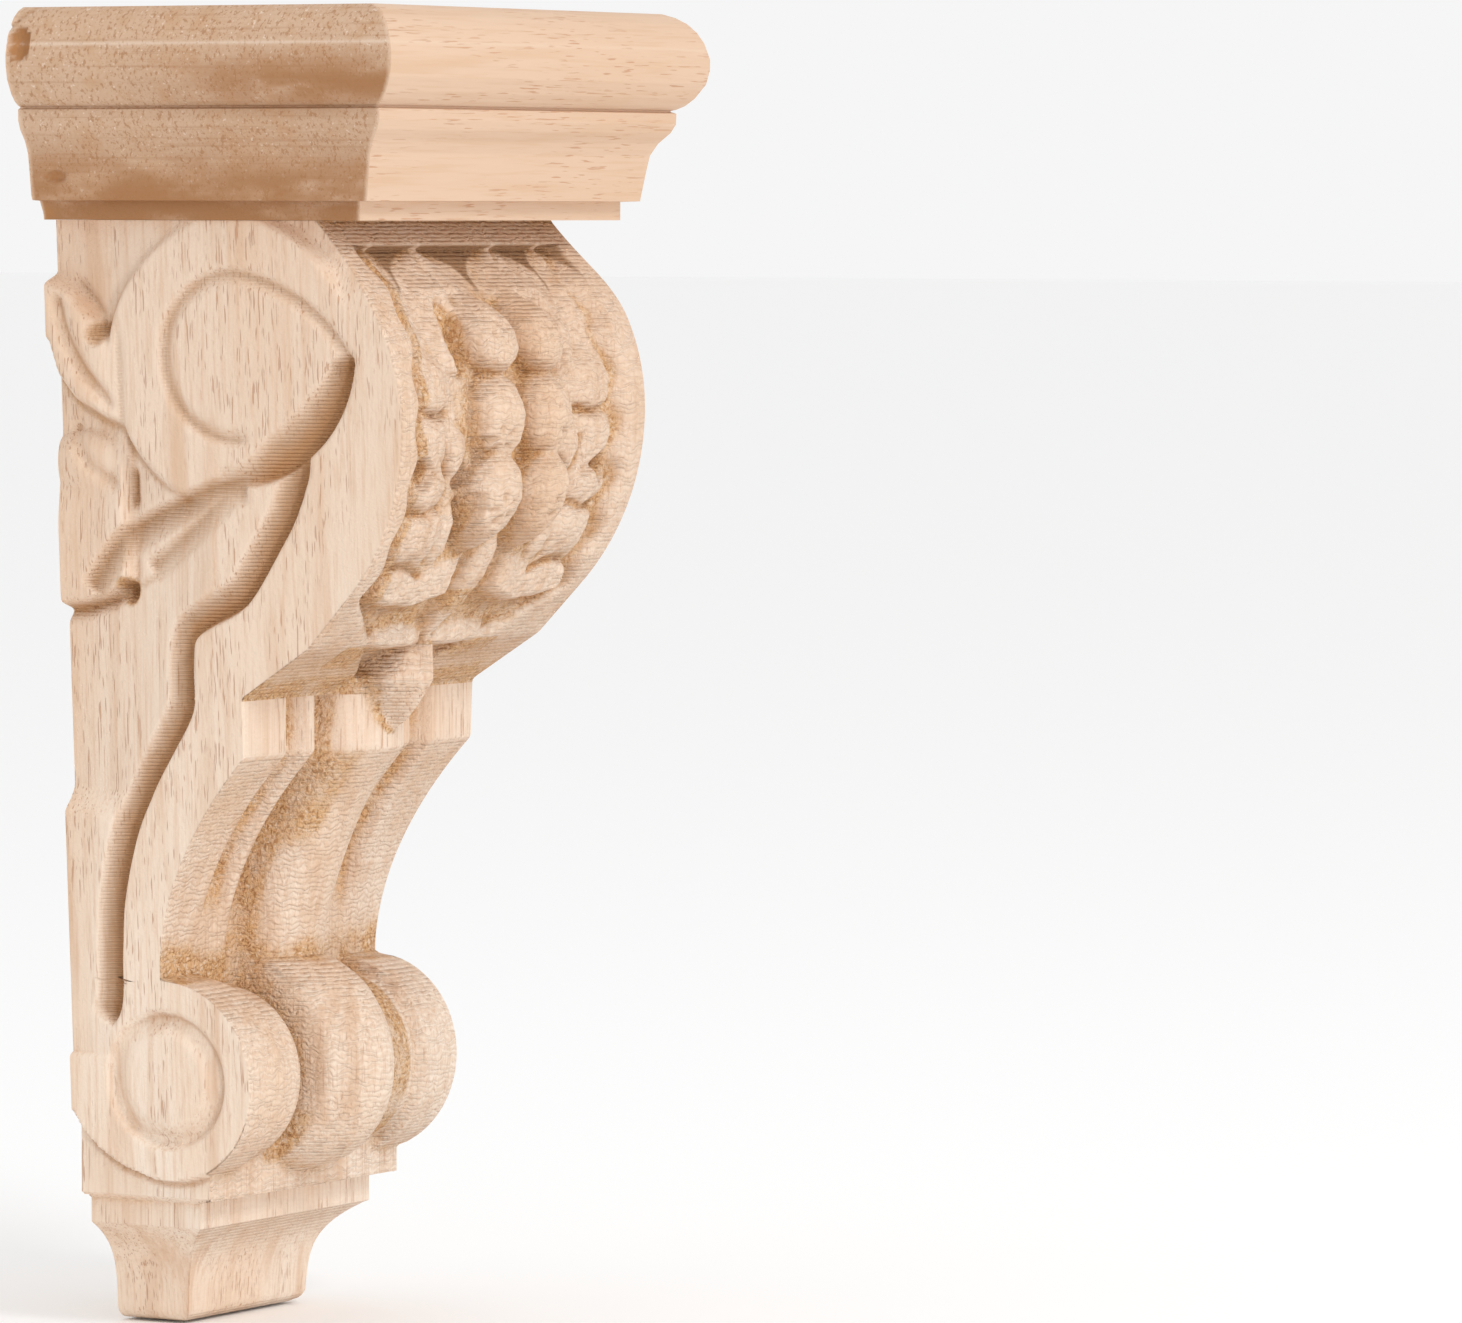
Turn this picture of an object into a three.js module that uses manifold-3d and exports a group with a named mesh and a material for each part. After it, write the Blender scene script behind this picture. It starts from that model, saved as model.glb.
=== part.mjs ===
// A carved wood corbel: a moulded cap board on a carved scroll bracket, 240 mm high.
// Millimetres, +Z up, -Y out from the wall. The origin is on the flat back, at mid height.
import * as THREE from 'three';
import { mergeVertices } from 'three/addons/utils/BufferGeometryUtils.js';
import Module from 'manifold-3d';

// Driving dimensions. Heights are above the underside of the foot, depths are out from the wall,
// and a drop is a distance down from the part named above it.
const totalHeight = 240;
const jointGap = 0.3;

// Cap board: the fillet at its foot, and how far its moulding runs out past that fillet
const capHeight = 37.9;
const capFilletWidth = 90;
const capFilletDepth = 68.6;
const capFilletHeight = 3.2;
const capSideReach = 10.6;
const capFrontReach = 13.2;
const fasciaHeight = 8.5;
const cymaHeight = 8.2;
const fasciaFootShare = 0.22;
const fasciaTopShare = 0.33;
const cymaShare = 0.63;
const creviceShare = 0.56;
const creviceHeight = 1.6;
const nosingShare = 0.55;

// Carved body: its width at the top and at the foot, and the profile of its front
const bodyTopWidth = 88.4;
const bodyFootWidth = 65.6;
const bellyDepth = 75.9;
const bellyDrop = 35.8;
const upperBellyRadius = 38.7;
const lowerBellyRadius = 45.2;
const bellyArcShare = 0.69;
const undercutShare = 0.9;
const undercutSlope = 0.61;
const neckDrop = 50.2;
const neckDepth = 40.2;
const stemTopDrop = 10.3;
const waistDepth = 20.4;
const scrollRadius = 18.4;
const scrollDepth = 20.8;
const scrollHeight = 45.8;

// Carved field of the belly, inside a plain band along each edge
const edgeBandWidth = 7;
const bandGrooveCurve = 0.4;
const fieldSink = 3.2;
const fieldFadeHeight = 20;
const fieldCrown = 3.4;
const crownReach = 32;
const stripHeight = 4;
const bladeRise = 4.5;
const lobeWidth = 12;
const lobeHeight = 13;
const lobeRise = 3.5;
const hollowWidth = 6;
const hollowHeight = 12;
const hollowDepth = 3;
const pocketSpacing = 12;
const pocketWidth = 7.2;
const pocketHeight = 6.4;
const pocketDepth = 5;
const bladeHalfWidth = 6.5;
const lowLeafHalfWidth = 5.4;

// Leaf that hangs from the belly over the top of the stem
const leafTipRise = 3.2;
const leafTipOverhang = 6.5;
const leafOverhang = 12;
const leafHalfWidth = 6.8;
const leafPointHeight = 13;
const leafHeadDrop = 20;
const leafCurve = 2.5;

// Stem and small scroll: the rib in the middle, the hollow between the side bands, the end drums
const ribWidth = 22;
const ribFootRise = 9.2;
const ribTopRise = 6.4;
const bandHollowWidth = 7;
const bandHollowDepth = 3.2;
const bandHollowOffset = 22;
const creaseWidth = 5;
const creaseDepth = 2.2;
const bossWidth = 19;
const bossRadius = 19.5;
const bossDepth = 27;
const bossRise = 1.2;
const drumsWidth = 22.3;
const outerDrumWidth = 11.4;
const drumEase = 3;
const drumStep = 1.2;

// Block and coved foot
const blockWidth = 63.8;
const blockDepth = 28.2;
const blockBottom = 23.8;
const blockHeight = 12;
const filletWidth = 57.2;
const filletDepth = 24.1;
const coveTop = 18.4;
const coveDrop = 7.4;
const coveLean = 1;
const footEase = 1.3;

// Side carving: the large volute, the ground that falls to the wall, the grooves and the leaf
const voluteRadius = 24.4;
const voluteDepth = 39.5;
const voluteRise = 0.6;
const wallFall = 4.6;
const wallFallReach = 34;
const wallRampHeight = 7;
const wallRampShare = 0.348;
const cornerFall = 4.6;
const grooveWidth = 3.7;
const grooveDepth = 3.2;
const grooveWallShare = 0.1;
const grooveInset = 1.2;
const rampWidth = 9;
const rampTailShare = 0.45;
const eyeRadius = 15;
const eyeLineWidth = 2;
const eyeLineDepth = 0.9;
const grooveTuck = 2;
const buttonRadius = 11.6;
const buttonLineDepth = 1.5;
const leafRise = 3.4;
const upperLobe = { along: 11, across: 10, tilt: 10, sunk: 3.8 };
const middleLobe = { along: 11, across: 9, tilt: 10, sunk: 6.4 };
const lowerLobe = { along: 19, across: 9, tilt: 50, sunk: 5.6 };
const blockStepRadius = 21.9;
const blockStepBack = 1.8;
const blockStepRise = 4.2;

// Fruit cluster: two columns of three, centred on the deepest part of the belly
const fruitColumn = 8;
const fruitPitch = 13.5;
const fruitWidth = 13.8;
const fruitHeight = 14.6;
const fruitRise = 6.2;

// How far cutters run past a face and past the whole part, and the least height of a step
const margin = 2;
const overrun = 20;
const faceGap = 0.4;
const sharpStep = 0.1;

const bodyColour = 0xe7c8a7;
const capColour = 0xe2c09b;

const bodyTop = totalHeight - capHeight - jointGap;
const originHeight = totalHeight / 2;
const bellyHeight = bodyTop - bellyDrop;
const neckHeight = bellyHeight - neckDrop;
const stemTopHeight = neckHeight - stemTopDrop;
const scrollTop = scrollHeight + scrollRadius;
const voluteHeight = bodyTop - voluteRadius + voluteRise;

const wasm = await Module();
wasm.setup();

const { sqrt, max, min, abs, cos, sin, hypot, PI } = Math;
const mix = (a, b, t) => a + (b - a) * t;
const clamp = (value, low, high) => min(max(value, low), high);
const wallRampFoot = mix(scrollHeight, voluteHeight, wallRampShare);
function smoothstep(from, to, value) {
  const t = clamp((value - from) / (to - from), 0, 1);
  return t * t * (3 - 2 * t);
}

// A closed solid through rings of equally many points, each end closed by a fan from its middle
function loft(rings) {
  const count = rings[0].length;
  const points = rings.flat();
  const faces = [];
  for (let row = 0; row + 1 < rings.length; row++) {
    for (let k = 0; k < count; k++) {
      const a = row * count + k;
      const b = row * count + (k + 1) % count;
      faces.push(a, b, b + count, a, b + count, a + count);
    }
  }
  const closeEnd = (start, flip) => {
    const ring = points.slice(start, start + count);
    const middle = [0, 1, 2].map((axis) => ring.reduce((sum, p) => sum + p[axis], 0) / count);
    points.push(middle);
    for (let k = 0; k < count; k++) {
      const [a, b] = [start + k, start + (k + 1) % count];
      faces.push(points.length - 1, flip ? b : a, flip ? a : b);
    }
  };
  closeEnd(0, true);
  closeEnd((rings.length - 1) * count, false);
  const geometry = new THREE.BufferGeometry();
  geometry.setAttribute('position', new THREE.Float32BufferAttribute(points.flat(), 3));
  geometry.setIndex(faces);
  return geometry;
}

// A manifold solid of a closed geometry, with its faces turned outward
function solid(geometry) {
  const bare = geometry.clone();
  bare.deleteAttribute('normal');
  bare.deleteAttribute('uv');
  const merged = mergeVertices(bare, 1e-4);
  const vertProperties = new Float32Array(merged.attributes.position.array);
  const triVerts = new Uint32Array(merged.index.array);
  const corner = (k) => new THREE.Vector3().fromArray(vertProperties, 3 * triVerts[k]);
  let volume = 0;
  for (let k = 0; k < triVerts.length; k += 3) {
    volume += corner(k).dot(corner(k + 1).cross(corner(k + 2)));
  }
  if (volume < 0) triVerts.reverse();
  return new wasm.Manifold(new wasm.Mesh({ numProp: 3, vertProperties, triVerts }));
}

function geometryOf(manifold) {
  const mesh = manifold.getMesh();
  const geometry = new THREE.BufferGeometry();
  geometry.setAttribute('position', new THREE.BufferAttribute(mesh.vertProperties.slice(), 3));
  geometry.setIndex(new THREE.BufferAttribute(mesh.triVerts.slice(), 1));
  return geometry;
}

// A block whose back is flat on the wall, through levels of half width, depth and height
function wallBlock(levels) {
  return loft(levels.map(([half, depth, z]) => [
    [-half, 0, z], [-half, -depth, z], [half, -depth, z], [half, 0, z],
  ]));
}

// Cap board: a moulding run round the front and both ends, with mitred corners
function capBoard() {
  const foot = totalHeight - capHeight;
  const fasciaFoot = foot + capFilletHeight;
  const fasciaTop = fasciaFoot + fasciaHeight;
  const nosingFoot = fasciaTop + cymaHeight;
  const reaches = [[0, foot], [0, fasciaFoot], [fasciaFootShare, fasciaFoot + sharpStep]];
  reaches.push([fasciaTopShare, fasciaTop]);
  for (const t of [0.25, 0.5, 0.75, 1]) {
    const share = mix(fasciaTopShare, cymaShare, smoothstep(0, 1, t));
    reaches.push([share, fasciaTop + t * (cymaHeight - creviceHeight)]);
  }
  reaches.push([creviceShare, nosingFoot]);
  const nosingMiddle = (nosingFoot + totalHeight) / 2;
  const nosingHalf = (totalHeight - nosingFoot) / 2;
  const nosingSteps = 10;
  for (let k = 0; k <= nosingSteps; k++) {
    const up = -cos(PI * k / nosingSteps);
    const share = 1 - nosingShare * (1 - sqrt(1 - (up / 1.04) ** 2));
    reaches.push([share, nosingMiddle + nosingHalf * up + (k === 0 ? sharpStep : 0)]);
  }
  return wallBlock(reaches.map(([share, z]) => [
    capFilletWidth / 2 + capSideReach * share, capFilletDepth + capFrontReach * share, z,
  ]));
}

// Block above the foot, its fillet and the cove that narrows to the underside
function footBlock() {
  const half = filletWidth / 2;
  const drop = coveDrop + coveLean;
  const levels = [[half - drop - footEase, filletDepth - drop - footEase, 0]];
  const coveSteps = 7;
  for (let k = 0; k <= coveSteps; k++) {
    const t = k / coveSteps;
    const inward = coveDrop * (1 - t ** 4) + coveLean * (1 - t);
    levels.push([half - inward, filletDepth - inward, mix(footEase, coveTop, t)]);
  }
  levels.push([half, filletDepth, blockBottom]);
  levels.push([blockWidth / 2, blockDepth, blockBottom + sharpStep]);
  levels.push([blockWidth / 2, blockDepth, blockBottom + blockHeight]);
  return wallBlock(levels);
}

// Half width of the body at a height
function halfWidth(z) {
  return mix(bodyFootWidth, bodyTopWidth, z / bodyTop) / 2;
}

// Depth of the plain front profile: belly, stem and small scroll
function profile(z) {
  if (z > neckHeight) {
    const away = abs(z - bellyHeight);
    const radius = z > bellyHeight ? upperBellyRadius : lowerBellyRadius;
    const arc = bellyArcShare * radius;
    const slope = arc / sqrt(radius ** 2 - arc ** 2);
    const round = sqrt(radius ** 2 - min(away, arc) ** 2) - max(0, away - arc) * slope;
    const undercut = z < bellyHeight ? undercutSlope * max(0, away - undercutShare * radius) : 0;
    return max(bellyDepth - radius + round - undercut, neckDepth);
  }
  return max(stemProfile(z), drum(z, scrollRadius, scrollDepth));
}

function stemProfile(z) {
  const rise = clamp((z - scrollTop) / (stemTopHeight - scrollTop), 0, 1);
  return mix(waistDepth, neckDepth, rise ** 2);
}

function drum(z, radius, depth) {
  const square = radius ** 2 - (z - scrollHeight) ** 2;
  return square > 0 ? depth + sqrt(square) : 0;
}

// Height of a leaf blade over its ground: a pointed oval along the line between two points
function blade(u, z, [fromU, fromZ], [toU, toZ], halfAcross, rise) {
  const length = hypot(toU - fromU, toZ - fromZ);
  const [dirU, dirZ] = [(toU - fromU) / length, (toZ - fromZ) / length];
  const along = ((u - fromU) * dirU + (z - fromZ) * dirZ) / length;
  if (along <= 0 || along >= 1) return 0;
  const arch = 4 * along * (1 - along);
  const across = (u - fromU) * -dirZ + (z - fromZ) * dirU;
  const reach = halfAcross * sqrt(arch);
  return rise * max(0, 1 - (across / reach) ** 2);
}

// Height of a rounded boss over its ground
function bump(u, z, atU, atZ, halfU, halfZ, rise) {
  return rise * sqrt(max(0, 1 - ((u - atU) / halfU) ** 2 - ((z - atZ) / halfZ) ** 2));
}

// Places on the belly field: distance from the middle, height above the deepest part of the belly
const topLeaves = [[[6, 44], [8, 20]], [[18, 44], [16, 7]], [[30, 44], [31, 10]]];
const fieldLobes = [[23, 8.5], [24, -5]];
const lowLeaves = [[[15, -6], [31, -26]], [[4, -31], [35, -26]], [[3, -40], [24, -34]]];
const fieldHollows = [[13.5, 15], [28.4, -8]];

// Relief of the belly field over the plain profile, the same on both sides of the middle
function bellyRelief(u, z) {
  const up = z - bellyHeight;
  const reach = bodyTop - bellyHeight;
  const below = smoothstep(bodyTop - stripHeight + 1, bodyTop - stripHeight - 3, z);
  const crown = fieldCrown * max(0, 1 - (u / reach) ** 2) * max(0, 1 - (up / crownReach) ** 2);
  const ground = crown - fieldSink * below * smoothstep(-neckDrop, fieldFadeHeight - neckDrop, up);
  const forms = [0];
  for (const [tip, foot] of topLeaves) {
    forms.push(below * blade(u, up, tip, foot, bladeHalfWidth, bladeRise));
  }
  for (const row of [-1, 0, 1]) {
    const rise = row === 0 ? 0.7 * fruitRise : fruitRise;
    forms.push(bump(u, up, fruitColumn, 1 + row * fruitPitch, fruitWidth / 2, fruitHeight / 2, rise));
  }
  for (const [atU, atUp] of fieldLobes) {
    forms.push(bump(u, up, atU, atUp, lobeWidth / 2, lobeHeight / 2, lobeRise));
  }
  for (const [inner, outer] of lowLeaves) forms.push(blade(u, up, inner, outer, lowLeafHalfWidth, bladeRise));
  let pits = 0;
  for (const k of [0, 1, 2, 3]) {
    const [atU, atUp] = [k * pocketSpacing, reach - stripHeight - 2];
    pits = max(pits, bump(u, up, atU, atUp, pocketWidth / 2, pocketHeight / 2, pocketDepth));
  }
  for (const [atU, atUp] of fieldHollows) {
    pits = max(pits, bump(u, up, atU, atUp, hollowWidth / 2, hollowHeight / 2, hollowDepth));
  }
  return ground + max(...forms) - pits;
}

// Central leaf that hangs from the belly over the top of the stem
function hangingLeaf(u, z) {
  const above = z - stemTopHeight - leafTipRise;
  const grown = sin(PI / 2 * clamp(above / leafPointHeight, 0, 1));
  const reach = leafHalfWidth * grown;
  if (u >= reach || z > bellyHeight - leafHeadDrop) return 0;
  const overhang = neckDepth + leafTipOverhang + leafOverhang * grown;
  return max(overhang, profile(z) + 1) - leafCurve * (u / reach) ** 2;
}

// Depth of the stem across its width: side bands, the hollow between them and the rib
function stemDepth(u, z) {
  const plain = stemProfile(z);
  const hollow = bandHollowDepth * max(0, 1 - (2 * (u - bandHollowOffset) / bandHollowWidth) ** 2);
  const crease = creaseDepth * max(0, 1 - 2 * abs(u - ribWidth / 2) / creaseWidth);
  const swollen = smoothstep(stemTopHeight, mix(scrollTop, stemTopHeight, 0.4), z);
  const lift = mix(ribTopRise, ribFootRise, swollen);
  const across = 2 * u / ribWidth;
  return across < 1 ? plain + lift * sqrt(1 - across ** 2) : plain - max(hollow, crease);
}

// Depth of the small scroll across its width: two drums on each side, the hollow and the middle boss
function scrollFront(u, z) {
  const fromSide = halfWidth(z) - u;
  const ease = drumEase * smoothstep(drumsWidth - drumEase, drumsWidth, fromSide);
  const step = fromSide > outerDrumWidth ? drumStep : 0;
  const drums = fromSide > drumsWidth ? 0 : drum(z, scrollRadius - step - ease, scrollDepth);
  const across = 2 * u / bossWidth;
  const crown = drum(z - bossRise, bossRadius, bossDepth);
  const boss = across < 1 && crown > 0 ? mix(waistDepth, crown, sqrt(1 - across ** 2)) : 0;
  return max(drums, boss);
}

// Depth of the carved front at a place, u from the middle and z above the underside
function frontDepth(u, z) {
  if (z <= neckHeight) {
    const stem = z > scrollHeight ? stemDepth(u, z) : 0;
    return max(stem, scrollFront(u, z), hangingLeaf(u, z), waistDepth);
  }
  const plain = profile(z);
  const inner = halfWidth(z) - edgeBandWidth;
  const band = plain - bandGrooveCurve * max(0, inner - u) ** 2;
  const carved = u > inner + 3 ? band : max(plain + bellyRelief(u, z), band);
  return max(carved, hangingLeaf(u, z));
}

// Heights of the rows of the body: close together on the carved belly and round the scroll
function bodyRows() {
  const rows = [];
  const spread = (from, to, count) => {
    for (let k = 0; k < count; k++) rows.push(mix(from, to, k / count));
  };
  for (let k = 0; k < 12; k++) rows.push(scrollHeight - (scrollRadius - 0.2) * cos(PI * k / 12));
  spread(scrollTop, stemTopHeight, 12);
  spread(stemTopHeight, neckHeight, 5);
  spread(neckHeight + sharpStep, bodyTop, 41);
  rows.push(bodyTop);
  return rows;
}

// The block with its front carved: one ring of points for each row
function carvedFront() {
  const columns = 19;
  return loft(bodyRows().map((z) => {
    const half = halfWidth(z);
    const ring = [[-half, 0, z]];
    for (let k = -columns; k <= columns; k++) {
      const x = half * k / columns;
      ring.push([x, -frontDepth(abs(x), z), z]);
    }
    ring.push([half, 0, z]);
    return ring;
  }));
}

// A cutter over an outline of [depth, height] points, its floor sunk below the side by a function
function sideCutter(outline, sink, side) {
  const shape = new THREE.Shape(outline.map(([depth, z]) => new THREE.Vector2(depth, z)));
  const geometry = new THREE.ExtrudeGeometry(shape, { depth: 1, bevelEnabled: false });
  const place = geometry.attributes.position;
  for (let k = 0; k < place.count; k++) {
    const [depth, z, t] = [place.getX(k), place.getY(k), place.getZ(k)];
    place.setXYZ(k, side * (halfWidth(z) - sink(depth, z) + overrun * t), -depth, z);
  }
  return solid(geometry);
}

// A groove on the side: a steep wall along the line and a ramp on its right, by [width, depth] on the way
function sideGroove(line, sizes, side) {
  const curve = new THREE.CatmullRomCurve3(line.map(([depth, z]) => new THREE.Vector3(depth, z, 0)));
  const stations = 2 * line.length;
  const top = wallFall + margin;
  const rings = [];
  for (let k = 0; k <= stations; k++) {
    const at = curve.getPointAt(k / stations);
    const along = curve.getTangentAt(k / stations);
    const [width, deep] = sizes(k / stations);
    const section = [[0, top], [grooveWallShare * width, -deep], [width, 0], [width, top]];
    rings.push(section.map(([across, out]) => {
      const depth = at.x + along.y * across;
      const z = at.y - along.x * across;
      return [side * (halfWidth(z) - groundFall(depth, z) + out), -depth, z];
    }));
  }
  return solid(loft(rings));
}

// How far the ground of the side has fallen towards the wall
function groundFall(depth, z) {
  if (hypot(depth - voluteDepth, z - voluteHeight) < voluteRadius) return 0;
  const ramp = clamp((z - wallRampFoot) / wallRampHeight, 0, 1);
  return ramp * wallFall * max(0, 1 - depth / wallFallReach);
}

function polar(depth, z, radius, degrees) {
  const angle = degrees * PI / 180;
  return [depth + radius * cos(angle), z + radius * sin(angle)];
}

function arcPoints(depth, z, radius, from, to, steps) {
  const points = [];
  for (let k = 0; k <= steps; k++) points.push(polar(depth, z, radius, mix(from, to, k / steps)));
  return points;
}

// A place on the side, by shares of the belly's depth and of the way up from scroll to volute
const onSide = ([out, up]) => [bellyDepth * out, mix(scrollHeight, voluteHeight, up)];

// Steep outer edge of the long S groove, from under the volute down to the small scroll
const sLine = [
  [0.71, 0.856], [0.7, 0.815], [0.626, 0.735], [0.527, 0.66], [0.408, 0.628], [0.374, 0.592], [0.372, 0.527],
  [0.323, 0.467], [0.244, 0.395], [0.191, 0.327], [0.158, 0.251], [0.145, 0.168], [0.125, 0.085],
].map(onSide);

// Hollows of the leaf that runs from under the volute down to the wall
const leafMidrib = [[0.08, 0.675], [0.145, 0.724], [0.227, 0.766], [0.37, 0.8], [0.527, 0.826]].map(onSide);
const leafVein = [[0.287, 0.72], [0.4, 0.762], [0.5, 0.811]].map(onSide);

// Outer edge of the volute's groove: a fine line round the eye that grows into the deep groove below
function spiralLine() {
  const points = [];
  for (let angle = 280; angle >= -98; angle -= 18) {
    const grown = (voluteRadius - eyeRadius) * clamp(1 - angle / 70, 0, 1) ** 2;
    const radius = eyeRadius + grown - grooveTuck * clamp(-angle / 50, 0, 1);
    points.push(polar(voluteDepth + 0.7, voluteHeight - 0.7, radius, angle));
  }
  return points;
}

// Width and depth of the volute's groove along its way
function spiralSizes(t) {
  const swell = smoothstep(0.6, 0.75, t) * mix(rampTailShare, 1, smoothstep(1, 0.8, t));
  return [mix(eyeLineWidth, rampWidth, swell), mix(eyeLineDepth, grooveDepth, swell)];
}

// Ground between the volute, the S groove and the wall, with the ramp at its foot
function wallGround(side) {
  const slant = wallRampFoot + wallRampHeight;
  const alongS = sLine.map(([depth, z]) => [depth - grooveInset, z + 0.5 * grooveInset]);
  const [rampDepth, rampFootDepth] = [alongS[8][0], alongS[9][0] + grooveInset];
  const arc = arcPoints(voluteDepth, voluteHeight, voluteRadius, 106, 262, 22);
  const outline = [[-margin, bodyTop + margin], [arc[0][0], bodyTop + margin], ...arc];
  outline.push(...alongS.slice(2, 8));
  outline.push([rampDepth, slant], [-margin, slant]);
  const fall = (depth) => wallFall * (1 - depth / wallFallReach);
  const ramp = [[-margin, slant + sharpStep], [rampDepth, slant + sharpStep]];
  ramp.push([rampFootDepth, wallRampFoot], [-margin, wallRampFoot]);
  const slope = (depth, z) => wallFall * ((z - wallRampFoot) / wallRampHeight - depth / wallFallReach);
  return sideCutter(outline, fall, side).add(sideCutter(ramp, slope, side));
}

// The upper front corner outside the volute, where the side falls towards the cap
function frontCorner(side) {
  const outline = arcPoints(voluteDepth, voluteHeight, voluteRadius, 76, 22, 8);
  const fallFoot = outline[8][1];
  const [front, top] = [bellyDepth + overrun, bodyTop + margin];
  outline.push([front, fallFoot], [front, top], [outline[0][0], top]);
  const fall = (depth, z) => cornerFall * (z - fallFoot - faceGap) / (bodyTop - fallFoot);
  return sideCutter(outline, fall, side);
}

// Below the small scroll the side steps back to the block
function blockStep(side) {
  const [depth, height] = [scrollDepth - blockStepBack, scrollHeight + blockStepRise];
  const arc = arcPoints(depth, height, blockStepRadius, 210, 270, 8);
  const [back, low, high] = [arc[0][0] - overrun, arc[8][1] - overrun, arc[8][1]];
  const outline = [[back, low], [back, arc[0][1]], ...arc, [bellyDepth, high], [bellyDepth, low]];
  return sideCutter(outline, (_, z) => halfWidth(z) - blockWidth / 2 + faceGap, side);
}

// A leaf lobe on the side: a flattened dome along a slanting axis
function sideLobe([depth, z], { along, across, tilt, sunk }, side) {
  const dome = new THREE.SphereGeometry(1, 12, 8);
  dome.scale(leafRise, across, along);
  dome.rotateX(tilt * PI / 180);
  dome.translate(side * (halfWidth(z) - sunk), -depth, z);
  return solid(dome);
}

function sideLeaf(side) {
  return sideLobe(onSide([0.04, 0.985]), upperLobe, side)
    .add(sideLobe(onSide([0.08, 0.84]), middleLobe, side))
    .add(sideLobe(onSide([0.2, 0.72]), lowerLobe, side));
}

function carvedBody() {
  let body = solid(carvedFront());
  for (const side of [-1, 1]) {
    body = body.subtract(wallGround(side)).subtract(frontCorner(side)).add(sideLeaf(side));
    body = body.subtract(sideGroove(spiralLine(), spiralSizes, side));
    body = body.subtract(sideGroove(sLine, () => [grooveWidth, grooveDepth], side));
    for (const line of [leafMidrib, leafVein]) {
      body = body.subtract(sideGroove(line, () => [grooveWidth, buttonLineDepth], side));
    }
    const button = arcPoints(scrollDepth - 0.2, scrollHeight, buttonRadius, 150, -210, 7);
    body = body.subtract(sideGroove(button, () => [eyeLineWidth, buttonLineDepth], side));
    body = body.subtract(blockStep(side));
  }
  body = body.add(solid(footBlock()));
  const behind = new THREE.BoxGeometry(2 * totalHeight, totalHeight, 3 * totalHeight);
  return geometryOf(body.subtract(solid(behind.translate(0, totalHeight / 2, totalHeight / 2))));
}

// A shaded mesh of a piece, let down so that the origin is at mid height
function piece(name, geometry, color) {
  const material = new THREE.MeshStandardMaterial({ color, roughness: 0.85, metalness: 0 });
  const mesh = new THREE.Mesh(geometry, material);
  mesh.name = name;
  mesh.position.z = -originHeight;
  return mesh;
}

const corbel = new THREE.Group();
corbel.add(piece('body', carvedBody(), bodyColour));
corbel.add(piece('cap', capBoard(), capColour));
export default corbel;
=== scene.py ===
"""A carved wood corbel: a moulded cap board on a scroll bracket with leaves and fruit.

Shapes are worked out in millimetres: u out from the middle, d out from the wall, and z above the
underside of the foot. The corbel is the same on both sides of its middle.
"""

import math

import bpy
import numpy as np
from mathutils import Matrix, Vector


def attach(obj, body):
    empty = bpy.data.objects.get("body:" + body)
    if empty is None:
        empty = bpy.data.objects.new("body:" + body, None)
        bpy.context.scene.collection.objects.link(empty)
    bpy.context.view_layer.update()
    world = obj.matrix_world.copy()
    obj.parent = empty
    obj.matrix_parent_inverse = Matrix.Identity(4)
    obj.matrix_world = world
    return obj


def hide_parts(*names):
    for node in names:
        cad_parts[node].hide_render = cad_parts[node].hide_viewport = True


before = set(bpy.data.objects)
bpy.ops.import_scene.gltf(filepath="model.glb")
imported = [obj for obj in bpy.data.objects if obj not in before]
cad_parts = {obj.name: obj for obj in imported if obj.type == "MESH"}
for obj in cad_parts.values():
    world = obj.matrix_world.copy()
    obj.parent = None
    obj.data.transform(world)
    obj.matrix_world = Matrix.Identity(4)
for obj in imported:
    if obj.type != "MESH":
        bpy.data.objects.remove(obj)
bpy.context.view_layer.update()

MM = 0.001
ORIGIN_HEIGHT = 120.0

# Cap board: its fillet, and how far the moulding runs out past that fillet
TOP = 240.0
CAP_FOOT = 201.85
CAP_FILLET_HALF = 45.0
CAP_FILLET_DEPTH = 68.6
CAP_SIDE_REACH = 10.5
CAP_FRONT_REACH = 13.1
CAP_PROFILE = [
    (CAP_FOOT, 0.0), (205.25, 0.0), (205.35, 0.22), (207.4, 0.245), (211.0, 0.29), (213.8, 0.33),
    (216.0, 0.42), (218.0, 0.56), (219.6, 0.62), (221.6, 0.625), (221.9, 0.56), (222.1, 0.56),
    (222.3, 0.62), (223.0, 0.72), (224.4, 0.83), (227.0, 0.955), (229.6, 0.998), (231.6, 1.0),
    (234.6, 0.935), (236.6, 0.85), (238.2, 0.74), (239.3, 0.61), (TOP, 0.46),
]

# Flaws of the cap's left end, each with its place, half sizes and depth
KNOT = ((2.6, 233.2), (2.2, 3.0), 1.7)
CHIP = ((5.6, 209.6), (2.2, 1.1), 1.0)
WORN_DEPTH = 1.6
CRACK_FOOT = (0.4, 236.7)
CRACK_DEPTH = 0.8
TOOL_LINE_HEIGHT = 233.3
SMUDGE_HEIGHT = 226

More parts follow.
